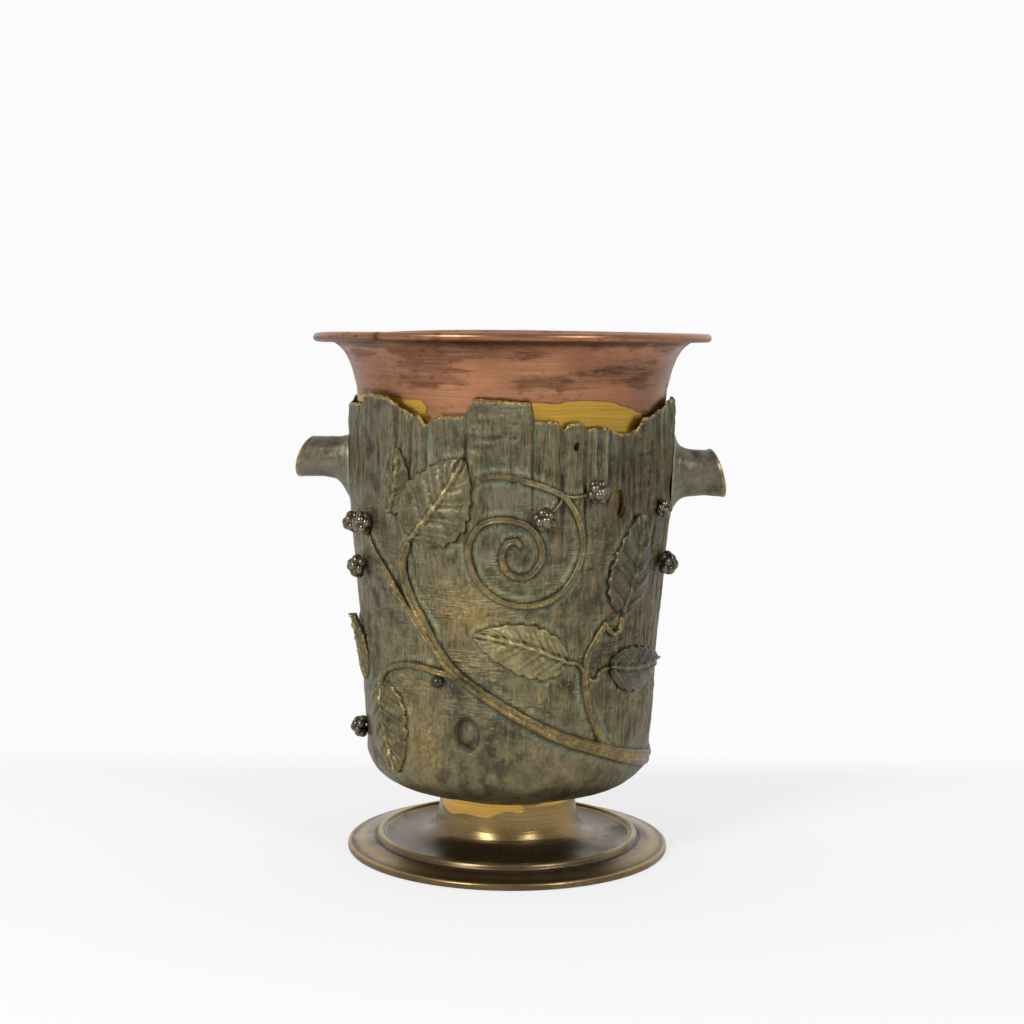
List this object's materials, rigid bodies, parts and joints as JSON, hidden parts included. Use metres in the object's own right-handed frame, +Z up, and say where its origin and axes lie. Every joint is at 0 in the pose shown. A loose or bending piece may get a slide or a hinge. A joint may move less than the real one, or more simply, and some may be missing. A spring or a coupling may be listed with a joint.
{
  "type": "metal vase",
  "caption": "Cast bronze tree-trunk vase with bramble relief and cut-branch stubs on a turned brass foot, holding a spun copper liner that lifts out.",
  "frame": {"origin": "centre of the foot's standing face, on the surface it stands on", "axes": "+Z up along the vase's axis, -Y towards the front with the spiral tendril, +X towards the right branch stub"},
  "size_m": [0.217, 0.1998, 0.2644],
  "materials": {
    "bronze_bark": "patinated cast bronze, matt brown-green",
    "bronze_ornament": "patinated cast bronze, worn on its high places",
    "turned_brass": "turned brass, toned brown, satin",
    "spun_copper": "spun copper, toned, satin",
    "steel": "plain steel"
  },
  "bodies": {
    "vase": {"berry_left_edge": "bronze_ornament", "berry_left_of_stalk": "bronze_ornament", "berry_low_left": "bronze_ornament", "berry_rear_first": "bronze_ornament", "berry_rear_second": "bronze_ornament", "berry_rear_third": "bronze_ornament", "berry_right_edge": "bronze_ornament", "berry_right_of_stalk": "bronze_ornament", "berry_right_small": "bronze_ornament", "berry_stalk_left": "bronze_ornament", "berry_stalk_right": "bronze_ornament", "berry_upper_left_inner": "bronze_ornament", "berry_upper_left_outer": "bronze_ornament", "branch_stub_left": "bronze_bark", "branch_stub_right": "bronze_bark", "bud": "bronze_ornament", "hooked_stalk": "bronze_ornament", "leaf_behind": "bronze_ornament", "leaf_centre": "bronze_ornament", "leaf_left_edge": "bronze_ornament", "leaf_low_left": "bronze_ornament", "leaf_low_right": "bronze_ornament", "leaf_rear_left": "bronze_ornament", "leaf_rear_right": "bronze_ornament", "leaf_rear_top": "bronze_ornament", "leaf_right": "bronze_ornament", "leaf_upper_left": "bronze_ornament", "left_twig": "bronze_ornament", "main_vine": "bronze_ornament", "pedestal_foot": "turned_brass", "rear_branch": "bronze_ornament", "rear_stem": "bronze_ornament", "rear_vine": "bronze_ornament", "right_stem": "bronze_ornament", "stalk_centre_leaf": "bronze_ornament", "stalk_low_right_leaf": "bronze_ornament", "stub_screw_left": "steel", "stub_screw_right": "steel", "tendril_spiral": "bronze_ornament", "tie_bolt": "steel", "tie_nut": "steel", "tie_washer": "steel", "trunk_shell": "bronze_bark", "vine_outer_branch": "bronze_ornament"},
    "liner": {"liner_vessel": "spun_copper", "rim_wire": "steel"}
  },
  "joints": [
    {"name": "liner_lift", "type": "slide", "parent": "vase", "child": "liner", "axis": [0, 0, 1], "range_m": [0, 0.23]}
  ]
}
